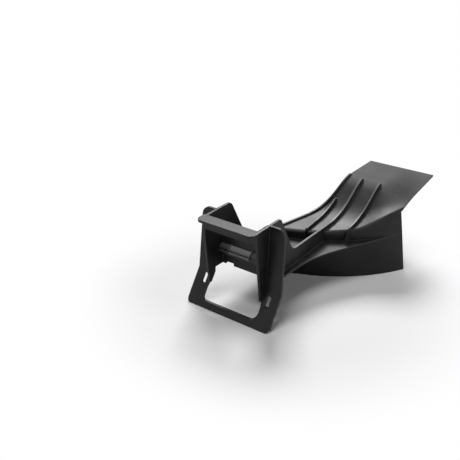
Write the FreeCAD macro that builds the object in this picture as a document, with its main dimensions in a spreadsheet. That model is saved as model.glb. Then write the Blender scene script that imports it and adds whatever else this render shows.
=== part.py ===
import FreeCAD, Part
import math
import os
import Sketcher

# A mulching plug for a rear-discharge mower, one moulding in black plastic. Millimetres.
# X runs across the plug, Y from the foot towards the deck, Z up.
# The origin is the middle of the foot's bottom face, on the surface that the plug stands on.
# The sizes below count Y from the foot's front edge; the finished plug is moved to its origin.

SIZES = {
    # Frame: a plate bent at half height, a foot below the bend and two wings above it
    "frame_width": 147.2,
    "frame_height": 144.2,
    "plate_thickness": 3.8,
    "bend_depth": 31,
    "bend_height": 47,
    "flange_lean": 7,
    "foot_corner_radius": 7,
    "left_wing_taper": 3.5,
    "right_wing_taper": 0.8,
    "wing_corner_radius": 13,
    "window_width": 96.2,
    "window_sill": 8.8,
    "window_shoulder": 25.4,
    "window_left_radius": 4.5,
    "window_right_radius": 12,
    "slot_spacing": 113.6,
    "slot_width": 6.3,
    "slot_height": 14,
    "slot_drop": 5,
    "slot_corner_radius": 1.5,
    # Side walls: a tall fin at each side of the window, lower along the tray
    "wall_span": 94.6,
    "wall_thickness": 3.8,
    "wall_seat": 1,
    "fin_front_top": 6.5,
    "fin_front_foot": 20,
    "fin_foot_height": 33.5,
    "fin_height": 145.5,
    "fin_back_angle": 28.8,
    "left_fin_back": 70.5,
    "left_fin_radius": 12,
    "right_fin_back": 65,
    "right_fin_radius": 7,
    "wall_height": 83.8,
    "wall_rise": 1.7,
    "wall_fillet": 15,
    "wall_end": 214,
    "left_wall_height": 69,
    "left_end_slope": 40,
    # Handle: a flat grip with an apron under its front edge
    "handle_height": 143,
    "grip_left": 50.5,
    "grip_right": 46.8,
    "handle_depth": 20.6,
    "handle_reach": 3,
    "handle_thickness": 4,
    "handle_corner_radius": 9.5,
    "apron_drop": 17.7,
    "apron_thickness": 3,
    # Tray: front wall with a round bead across it, and a floor that runs out into a shelf
    "tray_front": 50,
    "front_wall_thickness": 3,
    "front_wall_height": 100,
    "front_wall_foot": 54.1,
    "front_wall_root": 10,
    "root_height": 7,
    "floor_front": 56,
    "floor_height": 54.5,
    "floor_slope": 2.6,
    "floor_thickness": 2.6,
    "bead_depth": 49,
    "bead_height": 80.8,
    "bead_diameter": 13,
    "collar_diameter": 17,
    "collar_thickness": 2.2,
    "left_collar": -27,
    "right_collar": 11,
    "lip_reach": 6.2,
    "lip_height": 77.5,
    "lip_diameter": 5,
    "notch_left": -38,
    "notch_right": -23.5,
    "notch_rise": 4.2,
    "shelf_start": 54.2,
    "shelf_turn_x": 59.5,
    "shelf_turn_y": 136.6,
    "shelf_turn_radius": 190,
    "shelf_angle": 27.9,
    # Skirt: an upright wall on the circle that the blade sweeps
    "skirt_radius": 240,
    "skirt_centre_x": -75.1,
    "skirt_centre_y": 394.7,
    "skirt_thickness": 3,
    "skirt_end": 289.5,
    "skirt_end_lean": 8.5,
    "crease_radius": 5.6,
    # Roof: an S-curved sheet, flatter towards its right edge
    "roof_thickness": 3,
    "roof_front": 140,
    "roof_back": 387,
    "roof_height": 131.3,
    "crown_y": 306,
    "valley_y": 244,
    "low_slope": 7,
    "steep_slope": 35,
    "top_slope": 1.5,
    "valley_radius": 125,
    "crown_radius": 68,
    "flat_end": 141,
    "edge_low_slope": 11,
    "edge_steep_slope": 16.5,
    "edge_top_slope": 9.5,
    "edge_valley_radius": 800,
    "edge_crown_radius": 320,
    "roof_right": 132.6,
    "roof_left": 18.6,
    "left_turn_y": 278,
    "left_turn_angle": 19.8,
    "left_turn_radius": 285,
    # Ribs on the roof
    "rib_height": 5.5,
    "edge_rib_height": 3,
    "rib_thickness": 3,
    "rib_tip_radius": 1.4,
    "rib_tip_slope": 40,
    "edge_rib_tip": 317,
    "short_rib_x": 22.7,
    "short_rib_tip": 267,
    "wall_rib_tip": 309,
    "outer_rib_x": 78.2,
    "outer_rib_tip": 308,
    "outer_rib_foot": 197,
    "gusset_radius": 6,
}

NODE = "mulching_plug"
# How far tools and trimming blocks reach past the solid that they trim
SPARE = 10
# Points nearer than this lie on the same line or face
TOUCH = 0.01
# How far a rib or wall reaches into the sheet that it stands on, as a share of the sheet
SEAT = 0.9
# Sections of the loft between the roof's middle profile and its right one
ROOF_SECTIONS = 5
# Points at which an edge is tested for lying on the skirt
EDGE_POINTS = 5

doc = FreeCAD.newDocument("MulchingPlug")
sheet = doc.addObject("Spreadsheet::Sheet", "Sizes")
for row, (alias, value) in enumerate(SIZES.items(), start=1):
    sheet.set(f"A{row}", alias)
    sheet.set(f"B{row}", str(value))
    sheet.setAlias(f"B{row}", alias)
doc.recompute()


class Size:
    """A number that remembers the sheet formula it comes from."""

    def __init__(self, value, formula):
        self.value = value
        self.formula = formula

    def __add__(self, other):
        other = as_size(other)
        return Size(self.value + other.value, f"({self.formula} + {other.formula})")

    def __sub__(self, other):
        other = as_size(other)
        return Size(self.value - other.value, f"({self.formula} - {other.formula})")

    def __mul__(self, other):
        other = as_size(other)
        return Size(self.value * other.value, f"({self.formula} * {other.formula})")

    def __truediv__(self, other):
        other = as_size(other)
        return Size(self.value / other.value, f"({self.formula} / {other.formula})")

    def __neg__(self):
        return Size(-self.value, f"(-1 * {self.formula})")


def as_size(item):
    if isinstance(item, Size):
        return item
    return Size(float(item), f"({float(item)})")


def size(alias):
    return Size(float(sheet.get(alias)), f"Sizes.{alias}")


def sin(angle):
    return Size(math.sin(math.radians(angle.value)), f"sin({angle.formula})")


def cos(angle):
    return Size(math.cos(math.radians(angle.value)), f"cos({angle.formula})")


def tan(angle):
    return Size(math.tan(math.radians(angle.value)), f"tan({angle.formula})")


def root(number):
    return Size(math.sqrt(number.value), f"sqrt({number.formula})")


def add_loop(sketch, corners):
    """Draw a closed outline of corners (x, y) or (x, y, radius), each bound to the sheet."""
    corners = [tuple(as_size(item) for item in corner) for corner in corners]
    points = [FreeCAD.Vector(corner[0].value, corner[1].value, 0) for corner in corners]
    count = len(points)
    arrive = list(points)
    leave = list(points)
    centres = {}
    for i, corner in enumerate(corners):
        if len(corner) == 3:
            back = (points[i - 1] - points[i]).normalize()
            ahead = (points[(i + 1) % count] - points[i]).normalize()
            half = back.getAngle(ahead) / 2
            arrive[i] = points[i] + back * (corner[2].value / math.tan(half))
            leave[i] = points[i] + ahead * (corner[2].value / math.tan(half))
            middle = (back + ahead).normalize()
            centres[i] = points[i] + middle * (corner[2].value / math.sin(half))

    lines = [
        sketch.addGeometry(Part.LineSegment(leave[i], arrive[(i + 1) % count]), False)
        for i in range(count)
    ]
    constraints = []
    formulas = {}

    def bind(kind, *items):
        formulas[len(constraints)] = items[-1].formula
        constraints.append(Sketcher.Constraint(kind, *items[:-1], items[-1].value))

    for i, corner in enumerate(corners):
        before, after = lines[i - 1], lines[i]
        if i not in centres:
            constraints.append(Sketcher.Constraint("Coincident", before, 2, after, 1))
            bind("DistanceX", -1, 1, after, 1, corner[0])
            bind("DistanceY", -1, 1, after, 1, corner[1])
            continue
        mark = sketch.addGeometry(Part.Point(points[i]), True)
        bind("DistanceX", -1, 1, mark, 1, corner[0])
        bind("DistanceY", -1, 1, mark, 1, corner[1])
        constraints.append(Sketcher.Constraint("PointOnObject", mark, 1, before))
        constraints.append(Sketcher.Constraint("PointOnObject", mark, 1, after))
        turns_left = (points[i] - points[i - 1]).cross(points[(i + 1) % count] - points[i]).z > 0
        ends = (arrive[i], leave[i]) if turns_left else (leave[i], arrive[i])
        angles = [math.atan2(end.y - centres[i].y, end.x - centres[i].x) for end in ends]
        circle = Part.Circle(centres[i], FreeCAD.Vector(0, 0, 1), corner[2].value)
        arc = sketch.addGeometry(Part.ArcOfCircle(circle, *angles), False)
        first, last = (1, 2) if turns_left else (2, 1)
        constraints.append(Sketcher.Constraint("Tangent", before, 2, arc, first))
        constraints.append(Sketcher.Constraint("Tangent", arc, last, after, 1))
        bind("Radius", arc, corner[2])

    offset = sketch.ConstraintCount
    sketch.addConstraint(constraints)
    for index, text in formulas.items():
        sketch.setExpression(f"Constraints[{offset + index}]", text)


def add_sketch(body, name, plane, offset, loops):
    """A sketch on one of the body's own planes, moved along the plane's normal."""
    sketch = body.newObject("Sketcher::SketchObject", name)
    support = [item for item in body.Origin.OriginFeatures if item.Role == plane]
    sketch.AttachmentSupport = [(support[0], "")]
    sketch.MapMode = "FlatFace"
    sketch.setExpression("AttachmentOffset.Base.z", as_size(offset).formula)
    for loop in loops:
        add_loop(sketch, loop)
    return sketch


def pad(name, plane, loops, start, length):
    """A body padded from its plane; pads on XZ_Plane run towards -Y, the others towards +."""
    body = doc.addObject("PartDesign::Body", name)
    offset = -as_size(start) if plane == "XZ_Plane" else start
    sketch = add_sketch(body, f"{name}_sketch", plane, offset, loops)
    feature = body.newObject("PartDesign::Pad", f"{name}_pad")
    feature.Profile = sketch
    feature.setExpression("Length", as_size(length).formula)
    return body


def loft(name, sections):
    """A smooth body through outlines on planes across X."""
    body = doc.addObject("PartDesign::Body", name)
    sketches = [
        add_sketch(body, f"{name}_sketch_{i}", "YZ_Plane", x, [loop])
        for i, (x, loop) in enumerate(sections)
    ]
    feature = body.newObject("PartDesign::AdditiveLoft", f"{name}_loft")
    feature.Profile = sketches[0]
    feature.Sections = sketches[1:]
    return body


def combine(kind, name, shapes):
    """A boolean of two or more objects: MultiCommon, MultiFuse."""
    result = doc.addObject(f"Part::{kind}", name)
    result.Shapes = shapes
    return result


def cut(name, base, tool):
    result = doc.addObject("Part::Cut", name)
    result.Base = base
    result.Tool = tool
    return result


def cylinder(name, radius, height, base, along_x=False):
    """A cylinder upright from its base point, or lying along X."""
    item = doc.addObject("Part::Cylinder", name)
    item.setExpression("Radius", as_size(radius).formula)
    item.setExpression("Height", as_size(height).formula)
    if along_x:
        item.Placement.Rotation = FreeCAD.Rotation(FreeCAD.Vector(0, 1, 0), 90)
    for axis, place in zip("xyz", base):
        item.setExpression(f"Placement.Base.{axis}", as_size(place).formula)
    return item


# Frame

def plate_front(height):
    """Y of the flange's front face at a height above the bend."""
    lean = size("flange_lean") / (size("frame_height") - size("bend_height"))
    return size("bend_depth") + (height - size("bend_height")) * lean


def foot_thickness():
    """Level thickness of the sloping foot, which is the depth of its bottom face."""
    depth, height = size("bend_depth"), size("bend_height")
    return size("plate_thickness") * root(depth * depth + height * height) / height


def make_frame():
    thickness, foot_level = size("plate_thickness"), foot_thickness()
    depth, height, top = size("bend_depth"), size("bend_height"), size("frame_height")
    rise, lean = top - height, size("flange_lean")
    flange_level = thickness * root(rise * rise + lean * lean) / rise
    foot_run, flange_run = depth / height, lean / rise
    # Height at which the two back faces meet
    back_bend = height - (foot_level - flange_level) / (foot_run - flange_run)
    bent = pad(
        "frame_profile",
        "YZ_Plane",
        [[
            (0, 0),
            (foot_level, 0),
            (foot_level + back_bend * foot_run, back_bend),
            (plate_front(top) + flange_level, top),
            (plate_front(top), top),
            (depth, height),
        ]],
        -size("frame_width") / 2 - SPARE,
        size("frame_width") + 2 * SPARE,
    )
    half = size("frame_width") / 2
    left_wing, right_wing = size("left_wing_taper") - half, half - size("right_wing_taper")
    # The window is open at the top and narrows under the fins
    side, wide = size("wall_span") / 2 - size("wall_seat"), size("window_width") / 2
    sill, wing_radius = size("window_sill"), size("wing_corner_radius")
    shoulder, neck = size("window_shoulder"), size("fin_foot_height")
    outline = [
        (-half, 0, size("foot_corner_radius")),
        (half, 0, size("foot_corner_radius")),
        (half, height),
        (right_wing, top, wing_radius),
        (side, top),
        (side, neck),
        (wide, shoulder),
        (wide, sill, size("window_right_radius")),
        (-wide, sill, size("window_left_radius")),
        (-wide, shoulder),
        (-side, neck),
        (-side, top),
        (left_wing, top, wing_radius),
        (-half, height),
    ]
    slot_top = height - size("slot_drop")
    slot_low = slot_top - size("slot_height")
    slots = []
    for sign in (-1, 1):
        middle = size("slot_spacing") / 2 * sign
        left, right = middle - size("slot_width") / 2, middle + size("slot_width") / 2
        radius = size("slot_corner_radius")
        slots.append([
            (left, slot_low, radius),
            (right, slot_low, radius),
            (right, slot_top, radius),
            (left, slot_top, radius),
        ])
    reach = depth + lean + thickness * 2
    front = pad("frame_outline", "XZ_Plane", [outline] + slots, reach, reach + SPARE)
    return combine("MultiCommon", "frame", [bent, front])


# Skirt and roof

def skirt_y(x, inset=0):
    """Y of the skirt's outer face at x, or of a face that lies inset within it."""
    across, radius = as_size(x) - size("skirt_centre_x"), size("skirt_radius") - inset
    return size("skirt_centre_y") - root(radius * radius - across * across)


def skirt_seat(x, width):
    """Y to which a wall of a width at x reaches into the skirt."""
    outer, inner = skirt_y(x), skirt_y(x - width / 2, size("skirt_thickness"))
    return outer + (inner - outer) * SEAT


def blended(alias, share):
    """A size on the way from the roof's middle profile to its right one."""
    if share == 0:
        return size(alias)
    if share == 1:
        return size(f"edge_{alias}")
    return size(alias) + (size(f"edge_{alias}") - size(alias)) * share


def turn_radius(alias, before, after, share):
    """Radius whose tangents are as long as those of the two profiles, blended."""
    def reach(edge):
        turn = size(f"{edge}{after}") - size(f"{edge}{before}")
        return size(f"{edge}{alias}") * tan(turn / 2)

    turn = blended(after, share) - blended(before, share)
    return (reach("") + (reach("edge_") - reach("")) * share) / tan(turn / 2)


def roof_curve(rise, share=0):
    """Corners of the S-curve from front to back, lifted by rise; share 1 is the right profile."""
    low, steep = blended("low_slope", share), blended("steep_slope", share)
    top = blended("top_slope", share)
    front, valley_y = size("roof_front"), size("valley_y")
    crown_y, back = size("crown_y"), size("roof_back")
    crown_z = size("roof_height") - (back - crown_y) * tan(top)
    valley_z = crown_z - (crown_y - valley_y) * tan(steep)
    valley_radius = turn_radius("valley_radius", "low_slope", "steep_slope", share)
    crown_radius = turn_radius("crown_radius", "steep_slope", "top_slope", share)

    def lifted(y, z, before, after):
        mean, turn = (before + after) / 2, (after - before) / 2
        reach = as_size(rise) / cos(turn)
        return y - reach * sin(mean), z + reach * cos(mean)

    valley = lifted(valley_y, valley_z, low, steep)
    crown = lifted(crown_y, crown_z, steep, top)
    return [
        (front, valley[1] - (valley[0] - front) * tan(low)),
        (*valley, valley_radius - rise),
        (*crown, crown_radius + rise),
        (back, crown[1] + (back - crown[0]) * tan(top)),
    ]


def low_roof(y, rise):
    """Height of the roof's gentle front stretch at y, lifted by rise."""
    front = roof_curve(rise)[0]
    return front[1] + (y - front[0]) * tan(size("low_slope"))


def below_roof(rise, share):
    """Outline of all that lies below the roof's curve."""
    return [
        (size("roof_front"), 0),
        (size("roof_back"), 0),
        *reversed(roof_curve(rise, share)),
    ]


def roof_blocks(name, rise):
    """Blocks below the roof's curve: one even as far as the outer rib, one that flattens beyond it."""
    left, start, end = -size("wall_span") / 2, size("outer_rib_x"), size("flat_end")
    even = pad(f"even_{name}", "YZ_Plane", [below_roof(rise, 0)], left, start - left)
    sections = []
    for step in range(ROOF_SECTIONS):
        across = step / (ROOF_SECTIONS - 1)
        # The profile changes slowly at first and at last
        share = across * across * (3 - 2 * across)
        sections.append((start + (end - start) * across, below_roof(rise, share)))
    return [even, loft(f"flattening_{name}", sections)]


def is_crease(edge):
    """Whether an edge runs along the top of the round wall."""
    radius, x, y = size("skirt_radius"), size("skirt_centre_x"), size("skirt_centre_y")
    points = edge.discretize(Number=EDGE_POINTS)
    on_wall = all(
        abs(math.hypot(point.x - x.value, point.y - y.value) - radius.value) < TOUCH
        for point in points
    )
    upright = all(math.hypot(point.x - points[0].x, point.y - points[0].y) < TOUCH for point in points)
    return on_wall and not upright and min(point.z for point in points) > TOUCH


def rounded_block(block, sweep):
    """The part of a block inside the sweep, with its top rounded into its round wall."""
    sharp = combine("MultiCommon", f"{block.Name}_sharp", [block, sweep])
    doc.recompute()
    body = doc.addObject("PartDesign::Body", f"{block.Name}_rounded")
    body.BaseFeature = sharp
    doc.recompute()
    base = body.Tip
    names = [f"Edge{i}" for i, edge in enumerate(base.Shape.Edges, start=1) if is_crease(edge)]
    feature = body.newObject("PartDesign::Fillet", f"{block.Name}_crease")
    feature.Base = (base, names)
    feature.setExpression("Radius", size("crease_radius").formula)
    return body


def make_skirt(blocks, sweep):
    ring = cut("skirt_ring", sweep, cylinder(
        "skirt_bore",
        size("skirt_radius") - size("skirt_thickness"),
        size("roof_height") + SPARE,
        (size("skirt_centre_x"), size("skirt_centre_y"), 0),
    ))
    # The free end leans back towards the foot
    height, end = size("roof_height"), size("skirt_end")
    left, right = -size("wall_span") / 2, size("flat_end")
    side = pad(
        "skirt_side",
        "YZ_Plane",
        [[
            (size("roof_front"), 0),
            (end, 0),
            (end - height * tan(size("skirt_end_lean")), height),
            (size("roof_front"), height),
        ]],
        left,
        right - left,
    )
    # The hidden left end comes down to the low wall
    low = size("left_wall_height")
    face = pad(
        "skirt_face",
        "XZ_Plane",
        [[
            (left, 0),
            (right, 0),
            (right, height),
            (left + (height - low) / tan(size("left_end_slope")), height),
            (left, low),
        ]],
        end,
        end - size("roof_front"),
    )
    return [
        combine("MultiCommon", f"skirt_{i}", [ring, block, side, face])
        for i, block in enumerate(blocks)
    ]


def left_edge(inset):
    """Front point and turn of the roof's left edge, moved inwards by inset."""
    half_turn = size("left_turn_angle") / 2
    turn = (
        size("roof_left") + inset,
        size("left_turn_y") - as_size(inset) * tan(half_turn),
        size("left_turn_radius") + inset,
    )
    front = size("roof_front")
    return (turn[0] - (turn[1] - front) * tan(size("left_turn_angle")), front), turn


def make_roof(blocks):
    right, back = size("roof_right"), size("roof_back")
    start, turn = left_edge(0)
    plan = pad(
        "roof_plan",
        "XY_Plane",
        [[start, (right, size("roof_front")), (right, back), (size("roof_left"), back), turn]],
        0,
        size("roof_height") + SPARE,
    )
    cores = roof_blocks("core", -size("roof_thickness"))
    return [
        combine("MultiCommon", f"roof_{i}", [cut(f"roof_sheet_{i}", block, core), plan])
        for i, (block, core) in enumerate(zip(blocks, cores))
    ]


# Ribs

def rib_band(name, height):
    """The roof's curve thickened upwards, from which ribs of one height are trimmed."""
    left = -size("wall_span") / 2
    return pad(
        name,
        "YZ_Plane",
        [roof_curve(-size("roof_thickness") * SEAT) + roof_curve(height)[::-1]],
        left,
        size("outer_rib_x") + size("rib_thickness") - left,
    )


def rib_end(tip):
    """Side outline that slopes a rib down at its tip."""
    front, high = size("roof_front"), size("roof_height") + size("rib_height") + SPARE
    valley, crown = roof_curve(0)[1:3]
    base, slope = (crown, "top_slope") if tip.value > crown[0].value else (valley, "steep_slope")
    foot = base[1] + (tip - base[0]) * tan(size(slope)) - size("rib_height") / 2
    run = (high - foot) / tan(size("rib_tip_slope"))
    return [(front, 0), (tip, 0), (tip, foot), (tip - run, high), (front, high)]


def rib_plan(middle, thickness, tip):
    """A straight rib's footprint with a rounded tip."""
    front, radius = size("roof_front"), size("rib_tip_radius")
    left, right = middle - thickness / 2, middle + thickness / 2
    return [(left, front), (right, front), (right, tip, radius), (left, tip, radius)]


def edge_rib_plans():
    """The strip along the roof's left edge, and the outline that ends it at its tip."""
    front, back, tip = size("roof_front"), size("roof_back"), size("edge_rib_tip")
    outer, outer_turn = left_edge(0)
    inner, inner_turn = left_edge(size("rib_thickness"))
    strip = [outer, inner, inner_turn, (inner_turn[0], back), (outer_turn[0], back), outer_turn]
    left, right = -size("wall_span") / 2, inner_turn[0]
    end = [(left, front), (right, front), (right, tip, size("rib_tip_radius")), (left, tip)]
    return [strip, end]


def make_ribs(sweep):
    wall, thickness = size("wall_thickness"), size("rib_thickness")
    low_band = rib_band("edge_rib_band", size("edge_rib_height"))
    band = rib_band("rib_band", size("rib_height"))
    edge_tip = size("edge_rib_tip")
    straight_ribs = {
        "short_rib": (size("short_rib_x"), thickness, size("short_rib_tip")),
        "wall_rib": (size("wall_span") / 2 - wall / 2, wall, size("wall_rib_tip")),
        "outer_rib": (size("outer_rib_x"), thickness, size("outer_rib_tip")),
    }
    footprints = {"edge_rib": (low_band, edge_tip, edge_rib_plans())}
    for name, place in straight_ribs.items():
        footprints[name] = (band, place[2], [rib_plan(*place)])
    height = size("roof_height") + size("rib_height") + SPARE
    left = -size("wall_span") / 2
    ribs = []
    for name, (height_band, tip, outlines) in footprints.items():
        plans = [
            pad(f"{name}_plan_{i}", "XY_Plane", [outline], 0, height)
            for i, outline in enumerate(outlines)
        ]
        end = pad(f"{name}_end", "YZ_Plane", [rib_end(tip)], left, size("flat_end") - left)
        ribs.append(combine("MultiCommon", name, [height_band, *plans, end, sweep]))
    return ribs


def gusset(name, x, foot):
    """The front of a rib, from the floor up over the crease of skirt and roof."""
    crease = skirt_y(x)
    inside = skirt_seat(x, size("rib_thickness"))
    top = crease - size("rib_height") / 2
    rise = size("rib_height")
    return pad(
        name,
        "YZ_Plane",
        [[
            (foot, floor_top(foot) - size("floor_thickness") / 2),
            (inside, floor_top(inside) - size("floor_thickness") / 2),
            (inside, low_roof(inside, rise)),
            (top, low_roof(top, rise), size("gusset_radius")),
        ]],
        as_size(x) - size("rib_thickness") / 2,
        size("rib_thickness"),
    )


# Side walls, handle and tray

def floor_top(y):
    return size("floor_height") + as_size(y) * tan(size("floor_slope"))


def floor_bottom(y):
    return floor_top(y) - size("floor_thickness") / cos(size("floor_slope"))


def fin_start():
    """The corners of a fin from its top front edge down to the tray's front."""
    foot, half_plate = size("fin_foot_height"), size("plate_thickness") / 2
    front, low = size("tray_front"), size("front_wall_foot")
    return [
        (size("fin_front_top"), size("handle_height")),
        (size("fin_front_foot"), foot),
        (size("bend_depth") * foot / size("bend_height") + half_plate, foot),
        (size("bend_depth") + half_plate, size("bend_height")),
        (plate_front(low) + half_plate, low),
        (front, low),
        (front + size("front_wall_root"), floor_bottom(front + size("front_wall_root"))),
    ]


def fin_front(height):
    """Y of a fin's slanted front edge at a height."""
    top, foot = size("fin_front_top"), size("fin_front_foot")
    lean = (foot - top) / (size("handle_height") - size("fin_foot_height"))
    return top + (size("handle_height") - height) * lean


def fin_back(side, height):
    """Y of a fin's slanted back edge at a height."""
    return size(f"{side}_fin_back") + (size("fin_height") - height) * tan(size("fin_back_angle"))


def fin_corner(side):
    """The rounded top corner at a fin's back."""
    return size(f"{side}_fin_back"), size("fin_height"), size(f"{side}_fin_radius")


def make_walls():
    outer = size("wall_span") / 2
    thickness = size("wall_thickness")

    # Right: the wall runs on over the roof's front stretch and becomes a rib
    inside = skirt_seat(outer - thickness / 2, thickness)
    end, seat = size("wall_end"), -size("roof_thickness") * SEAT
    low = size("wall_height")
    low_y = fin_back("right", low)
    right = pad(
        "right_wall",
        "YZ_Plane",
        [fin_start() + [
            (inside, floor_bottom(inside)),
            (inside, low_roof(inside, seat)),
            (end, low_roof(end, seat)),
            (end, low + (end - low_y) * tan(size("wall_rise"))),
            (low_y, low, size("wall_fillet")),
            fin_corner("right"),
        ]],
        outer - thickness,
        thickness,
    )

    # Left: a lower wall that stops at the skirt
    inside = skirt_seat(thickness / 2 - outer, thickness)
    low = size("left_wall_height")
    left = pad(
        "left_wall",
        "YZ_Plane",
        [fin_start() + [
            (inside, floor_bottom(inside)),
            (inside, low),
            (fin_back("left", low), low, size("wall_fillet")),
            fin_corner("left"),
        ]],
        -outer,
        thickness,
    )
    return [right, left]


def make_handle():
    left, right, front = -size("grip_left"), size("grip_right"), -size("handle_reach")
    back = front + size("handle_depth")
    radius, top = size("handle_corner_radius"), size("handle_height")
    thickness = size("handle_thickness")
    grip = pad(
        "grip",
        "XY_Plane",
        [[(left, front, radius), (right, front, radius), (right, back), (left, back)]],
        top - thickness,
        thickness,
    )
    # The apron hangs under the grip, flush with the front edges of the fins
    high, low, wall = top - thickness / 2, top - size("apron_drop"), size("apron_thickness")
    inner = size("wall_span") / 2 - size("wall_thickness") / 2
    apron = pad(
        "apron",
        "YZ_Plane",
        [[
            (fin_front(low), low),
            (fin_front(low) + wall, low),
            (fin_front(high) + wall, high),
            (fin_front(high), high),
        ]],
        -inner,
        inner * 2,
    )
    return [grip, apron]


def make_floor(sweep):
    front, back = size("floor_front"), size("skirt_end")
    strip = pad(
        "floor_strip",
        "YZ_Plane",
        [[
            (front, floor_bottom(front)),
            (back, floor_bottom(back)),
            (back, floor_top(back)),
            (front, floor_top(front)),
        ]],
        -size("wall_span") / 2,
        size("wall_span") / 2 + size("flat_end"),
    )
    half = size("wall_span") / 2
    turn_x, turn_y = size("shelf_turn_x"), size("shelf_turn_y")
    run = back - turn_y
    plan = pad(
        "floor_plan",
        "XY_Plane",
        [[
            (-half, front),
            (size("shelf_start"), front),
            (turn_x, turn_y, size("shelf_turn_radius")),
            (turn_x + run * tan(size("shelf_angle")), back),
            (-half, back),
        ]],
        0,
        size("frame_height"),
    )
    whole = combine("MultiCommon", "floor_whole", [strip, plan])
    # The floor stops at the skirt
    return cut("floor", whole, sweep)


def make_front_wall():
    front, foot = size("tray_front"), size("front_wall_foot")
    back = front + size("front_wall_thickness")
    deep = front + size("front_wall_root")
    inner = size("wall_span") / 2 - size("wall_thickness") / 2
    wall = pad(
        "front_wall_block",
        "YZ_Plane",
        [[
            (front, foot),
            (deep, floor_bottom(deep)),
            (deep, floor_top(deep)),
            (back, foot + size("root_height")),
            (back, size("front_wall_height")),
            (front, size("front_wall_height")),
        ]],
        -inner,
        inner * 2,
    )
    notch = pad(
        "front_notch",
        "XZ_Plane",
        [[
            (size("notch_left"), floor_bottom(0) - SPARE),
            (size("notch_right"), floor_bottom(0) - SPARE),
            (size("notch_right"), foot + size("notch_rise")),
            (size("notch_left"), foot + size("notch_rise")),
        ]],
        deep,
        size("front_wall_root") + SPARE,
    )
    return wall, notch


def make_bead():
    inner = size("wall_span") / 2 - size("wall_thickness") / 2
    depth, height = size("bead_depth"), size("bead_height")
    bead = cylinder("bead", size("bead_diameter") / 2, inner * 2, (-inner, depth, height), along_x=True)
    lip_base = (-inner, depth - size("lip_reach"), size("lip_height"))
    lip = cylinder("lip", size("lip_diameter") / 2, inner * 2, lip_base, along_x=True)
    collars = [
        cylinder(
            f"{name}_ring",
            size("collar_diameter") / 2,
            size("collar_thickness"),
            (size(name) - size("collar_thickness") / 2, depth, height),
            along_x=True,
        )
        for name in ("left_collar", "right_collar")
    ]
    return [bead, lip, *collars]


def make_plug():
    sweep = cylinder(
        "sweep",
        size("skirt_radius"),
        size("roof_height") + size("rib_height") + SPARE,
        (size("skirt_centre_x"), size("skirt_centre_y"), 0),
    )
    blocks = [rounded_block(block, sweep) for block in roof_blocks("block", 0)]
    short_x = size("short_rib_x")
    front_wall, notch = make_front_wall()
    floor = make_floor(sweep)
    tray = cut("tray", combine("MultiFuse", "tray_block", [floor, front_wall]), notch)
    pieces = [
        make_frame(),
        *make_walls(),
        *make_handle(),
        tray,
        *make_bead(),
        *make_skirt(blocks, sweep),
        *make_roof(blocks),
        *make_ribs(sweep),
        gusset("outer_gusset", size("outer_rib_x"), size("outer_rib_foot")),
        gusset("short_gusset", short_x, skirt_y(short_x) - size("rib_height")),
    ]
    plug = combine("MultiFuse", NODE, pieces)
    plug.Refine = True
    plug.Label = NODE
    plug.setExpression("Placement.Base.y", (-foot_thickness() / 2).formula)
    return plug


plug = make_plug()
doc.recompute()

for item in doc.Objects:
    if "Invalid" in item.State or "Error" in item.State:
        raise RuntimeError(f"{item.Label} failed: {item.State}")
if plug.Shape.isNull() or not plug.Shape.isValid() or len(plug.Shape.Solids) != 1:
    raise RuntimeError(f"{NODE} is not one valid solid")

os.makedirs("parts", exist_ok=True)
plug.Shape.exportStep(f"parts/{plug.Label}.step")
box = plug.Shape.BoundBox
print(f"{NODE}: {plug.Shape.Volume / 1000:.1f} cm3")
print(f"box {box.XLength:.1f} x {box.YLength:.1f} x {box.ZLength:.1f} mm")
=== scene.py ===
import math

import bpy
from mathutils import Euler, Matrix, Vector


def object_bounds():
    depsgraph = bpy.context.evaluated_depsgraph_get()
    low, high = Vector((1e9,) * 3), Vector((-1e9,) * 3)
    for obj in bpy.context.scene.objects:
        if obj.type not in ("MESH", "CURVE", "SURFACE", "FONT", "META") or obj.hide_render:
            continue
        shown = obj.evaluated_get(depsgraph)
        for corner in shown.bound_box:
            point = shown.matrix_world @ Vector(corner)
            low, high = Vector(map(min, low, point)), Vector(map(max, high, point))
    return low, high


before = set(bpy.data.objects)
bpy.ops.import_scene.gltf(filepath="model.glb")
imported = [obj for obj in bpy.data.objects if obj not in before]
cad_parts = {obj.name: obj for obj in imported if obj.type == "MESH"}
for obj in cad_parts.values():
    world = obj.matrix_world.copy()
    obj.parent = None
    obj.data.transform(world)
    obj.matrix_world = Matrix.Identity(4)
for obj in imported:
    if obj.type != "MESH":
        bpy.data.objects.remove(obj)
CAD_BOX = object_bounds()

bl_info = {
    "name": "Mower mulching plug",
    "version": (1, 0, 0),
    "blender": (4, 5, 0),
    "location": "View3D > Sidebar > Plug",
    "description": "Finishes a moulded mulching plug and sets it in a pale studio",
    "category": "Object",
}

PLUG = "mulching_plug"

# Facet points nearer than the gap are joined; a rounded edge has these steps and this material
WELD_GAP = 0.000002
EDGE_STEPS = 3
EDGE_MATERIAL = 1

# Each rib or wall top that gets a painted highlight: middle from left to right, half thickness, front
# end and back end
RIB_TOPS = (
    (-0.0454, 0.0022, 0.055, 0.16),
    (0.0454, 0.0022, 0.055, 0.307),
    (0.0227, 0.0016, 0.2, 0.265),
    (0.0782, 0.0016, 0.197, 0.306),
)

# How far a face looks upward where the painted highlight on the tops and on the cross bar starts and
# where it is full
TOP_UPWARD = (0.4, 0.6)
BAR_UPWARD = (0.1, 0.7)

# The cross bar runs from left to right, so these directions lead away from its middle line
BAR_ACROSS = (0, 1, 1)
# Share of the bar's painted highlight that goes on beyond its collars, and how many times a limit it
# takes to fade
BAR_BEYOND = 0.3
BAR_FADE = 1.05

# Share of the crown's width that is scoured all over
CROWN_CORE = 0.3

# How far an edge stands out where its painted highlight in grey starts and ends, and where it starts
# and ends turning glossy
OUT_GREY = (0.53, 0.62)
OUT_GLOSSY = (0.48, 0.52)

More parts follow.
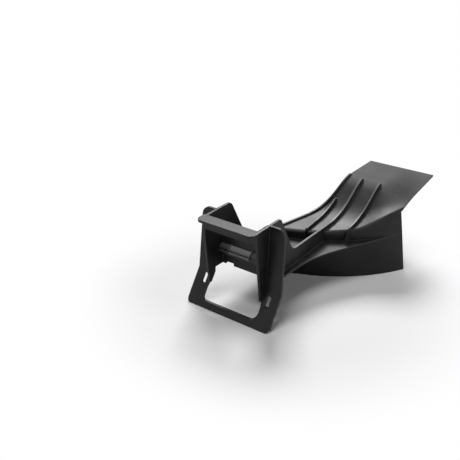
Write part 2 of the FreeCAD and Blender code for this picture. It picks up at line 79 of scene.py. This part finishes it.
# The plastic's patches: values between which its colour and its gloss change, and their fineness
PATCH_COLOUR = (0.35, 0.7)
PATCH_GLOSS = (0.3, 0.7)
PATCH_DETAIL = 4
PATCH_ROUGHNESS = 0.55

GRAIN_DETAIL = 3
GRAIN_STRENGTH = 0.6
PLASTIC_IOR = 1.49

# The floor's faint patches: their width, values between which they change, and their shade
FLOOR_PATCH = 0.4
FLOOR_CHANGE = (0.3, 0.7)
FLOOR_SHADE = 0.985

# Share of the shadow's reach within which the floor keeps its own look
SHADOW_CORE = 0.5

WHITE = (1, 1, 1, 1)
WHITE_STRENGTH = 1.0

# Colour sockets of a mix node, by number because other sockets have the same names
MIX_SHARE = 0
MIX_FIRST = 6
MIX_SECOND = 7
MIX_COLOUR = 2


# Settings

class PlugMoulding(bpy.types.PropertyGroup):
    """The moulding's edges and its black plastic."""

    edge_round: bpy.props.FloatProperty(
        name="Edge round",
        description="Width of the rounding on the edges that are about square",
        default=0.0004,
        unit="LENGTH",
    )
    edge_angle: bpy.props.FloatProperty(
        name="Edge angle",
        description="Faces that turn from each other by more than this angle get a rounded edge",
        default=math.radians(86),
        subtype="ANGLE",
    )
    crease_angle: bpy.props.FloatProperty(
        name="Crease angle",
        description="Faces that still turn from each other by more than this angle are shaded apart",
        default=math.radians(38),
        subtype="ANGLE",
    )
    flat_angle: bpy.props.FloatProperty(
        name="Flat angle",
        description="Facets that turn by less than this angle are joined before the edges are rounded",
        default=math.radians(0.4),
        subtype="ANGLE",
    )
    # On the faces this is the plastic's own darkest tone; in the corners between two faces it is
    # painted shade
    deep_and_crease_shade_colour: bpy.props.FloatVectorProperty(
        name="Deep and crease shade colour",
        description="Colour of the plastic's darkest patches, and of the corners between two faces",
        default=(0.010, 0.0102, 0.0108),
        subtype="COLOR",
        min=0,
        max=1,
    )
    worn_colour: bpy.props.FloatVectorProperty(
        name="Worn colour",
        description="Colour of the patches that handling has rubbed a little grey",
        default=(0.019, 0.0192, 0.0198),
        subtype="COLOR",
        min=0,
        max=1,
    )
    # Painted highlight: the edges that stand out are coloured light grey in place of the highlights
    # that light puts on them
    edge_highlight_colour: bpy.props.FloatVectorProperty(
        name="Edge highlight colour",
        description="Colour of the rounded edges where they stand out the most",
        default=(0.18, 0.181, 0.184),
        subtype="COLOR",
        min=0,
        max=1,
    )
    # Painted highlight: the tops of the ribs and walls are coloured grey in place of the bright lines
    # that light puts on them
    top_highlight_colour: bpy.props.FloatVectorProperty(
        name="Top highlight colour",
        description="Colour of the tops of the ribs and walls, which the chute has rubbed",
        default=(0.12, 0.121, 0.123),
        subtype="COLOR",
        min=0,
        max=1,
    )
    edge_gloss: bpy.props.FloatProperty(
        name="Roughness of the edges",
        description="Roughness of the rounded edges that stand out",
        default=0.22,
        subtype="FACTOR",
        min=0,
        max=1,
    )
    corner_gloss: bpy.props.FloatProperty(
        name="Roughness of the corners",
        description="Roughness of the corners between two faces, which hold dust",
        default=0.8,
        subtype="FACTOR",
        min=0,
        max=1,
    )
    gloss_low: bpy.props.FloatProperty(
        name="Roughness at the glossiest",
        description="Roughness of the plastic's darkest patches",
        default=0.33,
        subtype="FACTOR",
        min=0,
        max=1,
    )
    gloss_high: bpy.props.FloatProperty(
        name="Roughness at the dullest",
        description="Roughness of the patches that are rubbed a little grey",
        default=0.41,
        subtype="FACTOR",
        min=0,
        max=1,
    )
    gloss_strength: bpy.props.FloatProperty(
        name="Gloss strength",
        description="Strength of the plastic's reflections, where a half is plain clear plastic",
        default=0.22,
        subtype="FACTOR",
        min=0,
        max=1,
    )
    edge_gloss_strength: bpy.props.FloatProperty(
        name="Edge gloss strength",
        description="Strength of the reflections on the rounded edges",
        default=0.5,
        subtype="FACTOR",
        min=0,
        max=1,
    )
    bar_side: bpy.props.FloatProperty(
        name="Bar side",
        description="Place of the middle between the cross bar's collars, from left to right",
        default=-0.008,
        unit="LENGTH",
    )
    bar_reach: bpy.props.FloatProperty(
        name="Bar reach",
        description="Half the length between the cross bar's collars",
        default=0.018,
        unit="LENGTH",
    )
    bar_depth: bpy.props.FloatProperty(
        name="Bar depth",
        description="Distance of the cross bar's middle behind the foot",
        default=0.0467,
        unit="LENGTH",
    )
    bar_height: bpy.props.FloatProperty(
        name="Bar height",
        description="Height of the cross bar's middle",
        default=0.0808,
        unit="LENGTH",
    )
    # The cross bar's painted highlight reaches this far round its middle
    bar_radius: bpy.props.FloatProperty(
        name="Bar radius",
        description="Reach of the rubbed surface round the cross bar's middle",
        default=0.0095,
        unit="LENGTH",
    )
    # Painted highlight: the cross bar's upper side is coloured light grey in place of the reflection
    # of the lamps on it
    bar_highlight_colour: bpy.props.FloatVectorProperty(
        name="Bar highlight colour",
        description="Colour of the cross bar's upper side, which hands have rubbed grey",
        default=(0.3, 0.302, 0.306),
        subtype="COLOR",
        min=0,
        max=1,
    )
    bar_gloss: bpy.props.FloatProperty(
        name="Roughness of the bar",
        description="Roughness of the cross bar, which hands have polished",
        default=0.25,
        subtype="FACTOR",
        min=0,
        max=1,
    )
    crown_depth: bpy.props.FloatProperty(
        name="Crown depth",
        description="Distance of the roof's crown behind the foot",
        default=0.309,
        unit="LENGTH",
    )
    crown_width: bpy.props.FloatProperty(
        name="Crown width",
        description="Reach of the scoured surface to each side of the crown",
        default=0.03,
        unit="LENGTH",
    )
    crown_gloss: bpy.props.FloatProperty(
        name="Roughness of the crown",
        description="Roughness along the roof's crown, which clippings have scoured",
        default=0.55,
        subtype="FACTOR",
        min=0,
        max=1,
    )
    patch_size: bpy.props.FloatProperty(
        name="Patch size",
        description="Width of the patches in which the plastic's colour and gloss change",
        default=0.035,
        unit="LENGTH",
    )
    grain_size: bpy.props.FloatProperty(
        name="Grain size",
        description="Width of one grain of the eroded mould surface",
        default=0.0011,
        unit="LENGTH",
    )
    grain_depth: bpy.props.FloatProperty(
        name="Grain depth",
        description="Height of the grain",
        default=0.00006,
        unit="LENGTH",
    )


class PlugStage(bpy.types.PropertyGroup):
    """The floor, the lamps and the camera."""

    floor_colour: bpy.props.FloatVectorProperty(
        name="Floor colour",
        description="Colour of the pale floor",
        default=(0.96, 0.96, 0.96),
        subtype="COLOR",
        min=0,
        max=1,
    )
    floor_reach: bpy.props.FloatProperty(
        name="Floor reach",
        description="Half the width of the floor",
        default=6.0,
        unit="LENGTH",
    )
    shadow_reach: bpy.props.FloatProperty(
        name="Shadow reach",
        description="Distance from the shadow's middle beyond which the floor is plain white",
        default=0.33,
        unit="LENGTH",
    )
    shadow_middle: bpy.props.FloatVectorProperty(
        name="Shadow middle",
        description="Place on the floor round which the shadow is kept",
        default=(0.02, 0.12),
        size=2,
        unit="LENGTH",
    )
    room_light: bpy.props.FloatProperty(
        name="Room light",
        description="Brightness of the dim room around the stage",
        default=0.02,
        min=0,
    )
    lamp_size: bpy.props.FloatProperty(
        name="Lamp size",
        description="Width of each soft lamp",
        default=0.9,
        unit="LENGTH",
    )
    back_place: bpy.props.FloatVectorProperty(
        name="Back lamp place",
        description="Where the lamp over and behind the plug hangs",
        default=(-0.89, 1.36, 1.69),
        subtype="TRANSLATION",
        unit="LENGTH",
    )
    back_power: bpy.props.FloatProperty(
        name="Back lamp power",
        description="Power of the lamp over and behind the plug",
        default=40.0,
        unit="POWER",
    )
    top_place: bpy.props.FloatVectorProperty(
        name="Top lamp place",
        description="Where the lamp high over the front hangs",
        default=(0.03, -0.63, 2.11),
        subtype="TRANSLATION",
        unit="LENGTH",
    )
    top_power: bpy.props.FloatProperty(
        name="Top lamp power",
        description="Power of the lamp high over the front",
        default=16.0,
        unit="POWER",
    )
    side_place: bpy.props.FloatVectorProperty(
        name="Side lamp place",
        description="Where the lamp at the right stands",
        default=(2.0, 0.72, 0.9),
        subtype="TRANSLATION",
        unit="LENGTH",
    )
    side_power: bpy.props.FloatProperty(
        name="Side lamp power",
        description="Power of the lamp at the right",
        default=11.5,
        unit="POWER",
    )
    heading: bpy.props.FloatProperty(
        name="Camera heading",
        description="Turn of the camera about the upright axis",
        default=math.radians(37.685),
        subtype="ANGLE",
    )
    pitch: bpy.props.FloatProperty(
        name="Camera pitch",
        description="Angle by which the camera looks down",
        default=math.radians(25.7),
        subtype="ANGLE",
    )
    place: bpy.props.FloatVectorProperty(
        name="Camera place",
        description="Where the camera stands",
        default=(0.5223, -0.6675, 0.5463),
        subtype="TRANSLATION",
        unit="LENGTH",
    )
    lens: bpy.props.FloatProperty(
        name="Lens",
        description="Focal length in millimetres on a sensor 36 mm wide",
        default=54.43,
        min=1,
    )


# Material nodes

class Nodes:
    """A short way to add and join the nodes of one tree."""

    def __init__(self, tree):
        self.tree = tree
        tree.nodes.clear()

    def add(self, kind, values=None, **settings):
        """A new node, with each named input linked or set."""
        node = self.tree.nodes.new(kind)
        for name, value in settings.items():
            setattr(node, name, value)
        for name, value in (values or {}).items():
            if isinstance(value, bpy.types.NodeSocket):
                self.tree.links.new(value, node.inputs[name])
            else:
                node.inputs[name].default_value = value
        return node

    def number(self, operation, *values):
        """The result of one sum on up to three numbers."""
        node = self.add("ShaderNodeMath", dict(enumerate(values)), operation=operation)
        return node.outputs["Value"]

    def vector(self, operation, *values):
        """The outputs of one sum on one or two vectors."""
        node = self.add("ShaderNodeVectorMath", dict(enumerate(values)), operation=operation)
        return node.outputs

    def split(self, vector):
        """The parts of a vector along X, Y and Z."""
        return self.add("ShaderNodeSeparateXYZ", {"Vector": vector}).outputs

    def spread(self, factor, low, high, limits, **settings):
        """A number from low to high as factor goes from one limit to the other."""
        start, end = limits
        values = {"Value": factor, "From Min": start, "From Max": end, "To Min": low, "To Max": high}
        return self.add("ShaderNodeMapRange", values, **settings).outputs["Result"]

    def ramp(self, factor, low, high, limits):
        """A colour from low to high as factor goes from one limit to the other."""
        node = self.add("ShaderNodeValToRGB", {"Fac": factor})
        first, last = node.color_ramp.elements
        first.position, last.position = limits
        first.color = (*low, 1)
        last.color = (*high, 1)
        return node.outputs["Color"]

    def mix(self, share, first, second):
        """A colour from the first to the second as share goes from none to one."""
        values = {MIX_SHARE: share, MIX_FIRST: first, MIX_SECOND: second}
        return self.add("ShaderNodeMix", values, data_type="RGBA").outputs[MIX_COLOUR]

    def pick(self, share, first, second):
        """A shader from the first to the second as share goes from none to one."""
        return self.add("ShaderNodeMixShader", {0: share, 1: first, 2: second}).outputs["Shader"]

    def noise(self, place, width, detail=2.0, roughness=0.5):
        """Noise whose features are about width metres wide."""
        values = {"Vector": place, "Scale": 1 / width, "Detail": detail, "Roughness": roughness}
        return self.add("ShaderNodeTexNoise", values).outputs["Fac"]


# Plastic

def painted_bar_highlight(nodes, settings):
    """The painted highlight's share: one on the cross bar's upper side between its collars, less
    beyond them, none elsewhere.
    """
    spot = nodes.add("ShaderNodeTexCoord").outputs
    middle = (settings.bar_side, settings.bar_depth, settings.bar_height)
    away = nodes.vector("SUBTRACT", spot["Object"], middle)["Vector"]
    across = nodes.vector("MULTIPLY", away, BAR_ACROSS)["Vector"]
    reach = nodes.vector("LENGTH", across)["Value"]
    aside = nodes.number("ABSOLUTE", nodes.split(away)["X"])
    bar_highlight_mask = nodes.spread(nodes.split(spot["Normal"])["Z"], 0, 1, BAR_UPWARD)
    for length, limit, least in (
        (reach, settings.bar_radius, 0),
        (aside, settings.bar_reach, BAR_BEYOND),
    ):
        share = nodes.spread(length, 1, least, (limit, limit * BAR_FADE))
        bar_highlight_mask = nodes.number("MULTIPLY", bar_highlight_mask, share)
    return bar_highlight_mask


def painted_top_highlights(nodes):
    """The painted highlight's share: one on the upward tops of the ribs and of the tray's walls, and
    none elsewhere.
    """
    spot = nodes.add("ShaderNodeTexCoord").outputs
    place = nodes.split(spot["Object"])
    upward = nodes.spread(nodes.split(spot["Normal"])["Z"], 0, 1, TOP_UPWARD)
    tops = 0.0
    for side, half, front, back in RIB_TOPS:
        share = upward
        for axis, middle, reach in (
            ("X", side, half),
            ("Y", (front + back) / 2, (back - front) / 2),
        ):
            inside = nodes.number("COMPARE", place[axis], middle, reach)
            share = nodes.number("MULTIPLY", share, inside)
        tops = nodes.number("MAXIMUM", tops, share)
    return tops


def scoured_crown(nodes, settings, roughness):
    """The given roughness, duller along the roof's crown."""
    place = nodes.add("ShaderNodeTexCoord").outputs["Object"]
    away = nodes.number("SUBTRACT", nodes.split(place)["Y"], settings.crown_depth)
    aside = nodes.number("ABSOLUTE", away)
    width = settings.crown_width
    return nodes.spread(aside, settings.crown_gloss, roughness, (width * CROWN_CORE, width))


def make_plastic(name, settings, colours, roughness, gloss, rubbed=False):
    """Black moulded plastic with a fine eroded grain and painted highlights in grey on the tops and on
    the cross bar; with rubbed, the rounded edges' painted highlight and painted shade.
    """
    material = bpy.data.materials.new(name)
    material.use_nodes = True
    nodes = Nodes(material.node_tree)
    place = nodes.add("ShaderNodeTexCoord").outputs["Object"]
    grain = nodes.noise(place, settings.grain_size, GRAIN_DETAIL)
    if rubbed:
        # Only the edges that stand out are glossy and get a painted highlight in grey; the corners
        # between two faces keep the deep colour as painted shade
        outward = nodes.add("ShaderNodeNewGeometry").outputs["Pointiness"]
        colour = nodes.ramp(outward, *colours, OUT_GREY)
        uneven = nodes.spread(outward, *roughness, OUT_GLOSSY)
    else:
        patches = nodes.noise(place, settings.patch_size, PATCH_DETAIL, PATCH_ROUGHNESS)
        colour = nodes.ramp(patches, *colours, PATCH_COLOUR)
        uneven = scoured_crown(nodes, settings, nodes.spread(patches, *roughness, PATCH_GLOSS))
    # Painted highlights: light grey on the cross bar's upper side, and grey on the tops of the ribs
    # and walls
    bar_highlight_mask = painted_bar_highlight(nodes, settings)
    colour_with_top_highlights = nodes.mix(painted_top_highlights(nodes), colour, (*settings.top_highlight_colour, 1))
    colour_with_highlights = nodes.mix(bar_highlight_mask, colour_with_top_highlights, (*settings.bar_highlight_colour, 1))
    polish = nodes.spread(bar_highlight_mask, uneven, settings.bar_gloss, (0, 1))
    bump = nodes.add("ShaderNodeBump", {
        "Height": grain,
        "Distance": settings.grain_depth,
        "Strength": GRAIN_STRENGTH,
    })
    shader = nodes.add("ShaderNodeBsdfPrincipled", {
        "Base Color": colour_with_highlights,
        "Roughness": polish,
        "IOR": PLASTIC_IOR,
        "Specular IOR Level": gloss,
        "Normal": bump.outputs["Normal"],
    })
    nodes.add("ShaderNodeOutputMaterial", {"Surface": shader.outputs["BSDF"]})
    return material


class PLUG_OT_finish_moulding(bpy.types.Operator):
    """Round the moulding's edges and give it its black plastic"""

    bl_idname = "plug.finish_moulding"
    bl_label = "Finish the moulding"

    def execute(self, context):
        settings = context.scene.plug_moulding
        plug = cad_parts[PLUG]
        weld = plug.modifiers.new("weld_facets", "WELD")
        weld.merge_threshold = WELD_GAP
        flats = plug.modifiers.new("join_flats", "DECIMATE")
        flats.decimate_type = "DISSOLVE"
        flats.angle_limit = settings.flat_angle
        plug.modifiers.new("split_flats", "TRIANGULATE")
        edges = plug.modifiers.new("round_edges", "BEVEL")
        edges.width = settings.edge_round
        edges.segments = EDGE_STEPS
        edges.limit_method = "ANGLE"
        edges.angle_limit = settings.edge_angle
        edges.use_clamp_overlap = False
        edges.material = EDGE_MATERIAL
        creases = plug.modifiers.new("part_creases", "EDGE_SPLIT")
        creases.split_angle = settings.crease_angle
        creases.use_edge_sharp = False
        plug.modifiers.new("even_shading", "WEIGHTED_NORMAL")
        face_plastic = make_plastic(
            "black_moulded_plastic",
            settings,
            (settings.deep_and_crease_shade_colour, settings.worn_colour),
            (settings.gloss_low, settings.gloss_high),
            settings.gloss_strength,
        )
        # The edge material paints a grey highlight on the edges that stand out, and painted shade in
        # the corners between two faces
        edge_plastic = make_plastic(
            "plastic_edge_with_highlight",
            settings,
            (settings.deep_and_crease_shade_colour, settings.edge_highlight_colour),
            (settings.corner_gloss, settings.edge_gloss),
            settings.edge_gloss_strength,
            rubbed=True,
        )
        plug.data.materials.clear()
        plug.data.materials.append(face_plastic)
        plug.data.materials.append(edge_plastic)
        return {"FINISHED"}


# Stage

def add_lamp(name, place, target, size, power):
    """A soft square lamp that shines towards the target."""
    light = bpy.data.lights.new(name, "AREA")
    light.shape = "SQUARE"
    light.size = size
    light.energy = power
    lamp = bpy.data.objects.new(name, light)
    lamp.location = place
    lamp.rotation_euler = (target - Vector(place)).to_track_quat("-Z", "Y").to_euler()
    bpy.context.scene.collection.objects.link(lamp)


def seen_directly(nodes):
    """One for rays that show the stage itself: camera, glossy and transmission rays."""
    path = nodes.add("ShaderNodeLightPath").outputs
    seen = path["Is Camera Ray"]
    for kind in ("Is Glossy Ray", "Is Transmission Ray"):
        seen = nodes.number("MAXIMUM", seen, path[kind])
    return seen


def make_floor(settings):
    """A pale floor that keeps the plug's shadow and runs out into plain white."""
    material = bpy.data.materials.new("pale_floor")
    material.use_nodes = True
    nodes = Nodes(material.node_tree)
    place = nodes.add("ShaderNodeTexCoord").outputs["Object"]
    patches = nodes.noise(place, FLOOR_PATCH)
    shaded = [value * FLOOR_SHADE for value in settings.floor_colour]
    colour = nodes.ramp(patches, shaded, settings.floor_colour, FLOOR_CHANGE)
    pale = nodes.add("ShaderNodeBsdfDiffuse", {"Color": colour}).outputs["BSDF"]
    white = nodes.add("ShaderNodeEmission", {"Strength": WHITE_STRENGTH}).outputs["Emission"]
    far = nodes.vector("LENGTH", place)["Value"]
    limits = (settings.shadow_reach * SHADOW_CORE, settings.shadow_reach)
    fade = nodes.spread(far, 0, 1, limits, interpolation_type="SMOOTHSTEP")
    shown = nodes.pick(fade, pale, white)
    nodes.add("ShaderNodeOutputMaterial", {"Surface": nodes.pick(seen_directly(nodes), pale, shown)})
    mesh = bpy.data.meshes.new("floor")
    reach = settings.floor_reach
    corners = [(-reach, -reach, 0), (reach, -reach, 0), (reach, reach, 0), (-reach, reach, 0)]
    mesh.from_pydata(corners, [], [(0, 1, 2, 3)])
    mesh.materials.append(material)
    floor = bpy.data.objects.new("floor", mesh)
    floor.location = (*settings.shadow_middle, CAD_BOX[0].z)
    bpy.context.scene.collection.objects.link(floor)


def make_room(settings):
    """A dim room that looks white where it is seen directly."""
    world = bpy.data.worlds.new("room")
    world.use_nodes = True
    nodes = Nodes(world.node_tree)
    dim, bright = (
        nodes.add("ShaderNodeBackground", {"Color": WHITE, "Strength": strength}).outputs["Background"]
        for strength in (settings.room_light, WHITE_STRENGTH)
    )
    nodes.add("ShaderNodeOutputWorld", {"Surface": nodes.pick(seen_directly(nodes), dim, bright)})
    bpy.context.scene.world = world


def add_camera(settings):
    """The camera, at the viewing angle that the settings give."""
    lens = bpy.data.cameras.new("camera")
    lens.lens = settings.lens
    camera = bpy.data.objects.new("camera", lens)
    camera.location = settings.place
    camera.rotation_euler = Euler((math.pi / 2 - settings.pitch, 0, settings.heading))
    bpy.context.scene.collection.objects.link(camera)
    bpy.context.scene.camera = camera


class PLUG_OT_set_stage(bpy.types.Operator):
    """Set up the floor, the room, the lamps and the camera"""

    bl_idname = "plug.set_stage"
    bl_label = "Set the stage"

    def execute(self, context):
        settings = context.scene.plug_stage
        make_floor(settings)
        make_room(settings)
        middle = (CAD_BOX[0] + CAD_BOX[1]) / 2
        size = settings.lamp_size
        add_lamp("back_lamp", settings.back_place, middle, size, settings.back_power)
        add_lamp("top_lamp", settings.top_place, middle, size, settings.top_power)
        add_lamp("side_lamp", settings.side_place, middle, size, settings.side_power)
        add_camera(settings)
        context.scene.view_settings.view_transform = "Standard"
        return {"FINISHED"}


# Sidebar

class PLUG_PT_panel(bpy.types.Panel):
    """The plug's settings and steps"""

    bl_idname = "PLUG_PT_panel"
    bl_label = "Mulching plug"
    bl_space_type = "VIEW_3D"
    bl_region_type = "UI"
    bl_category = "Plug"

    def draw(self, context):
        steps = (
            (context.scene.plug_moulding, PLUG_OT_finish_moulding),
            (context.scene.plug_stage, PLUG_OT_set_stage),
        )
        for settings, operator in steps:
            column = self.layout.box().column()
            for name in settings.bl_rna.properties.keys():
                if name not in ("rna_type", "name"):
                    column.prop(settings, name)
            column.operator(operator.bl_idname)


CLASSES = (PlugMoulding, PlugStage, PLUG_OT_finish_moulding, PLUG_OT_set_stage, PLUG_PT_panel)


def register():
    for item in CLASSES:
        bpy.utils.register_class(item)
    bpy.types.Scene.plug_moulding = bpy.props.PointerProperty(type=PlugMoulding)
    bpy.types.Scene.plug_stage = bpy.props.PointerProperty(type=PlugStage)


def unregister():
    del bpy.types.Scene.plug_stage
    del bpy.types.Scene.plug_moulding
    for item in reversed(CLASSES):
        bpy.utils.unregister_class(item)


def main():
    register()
    bpy.ops.plug.finish_moulding()
    bpy.ops.plug.set_stage()


if __name__ == "__main__":
    main()
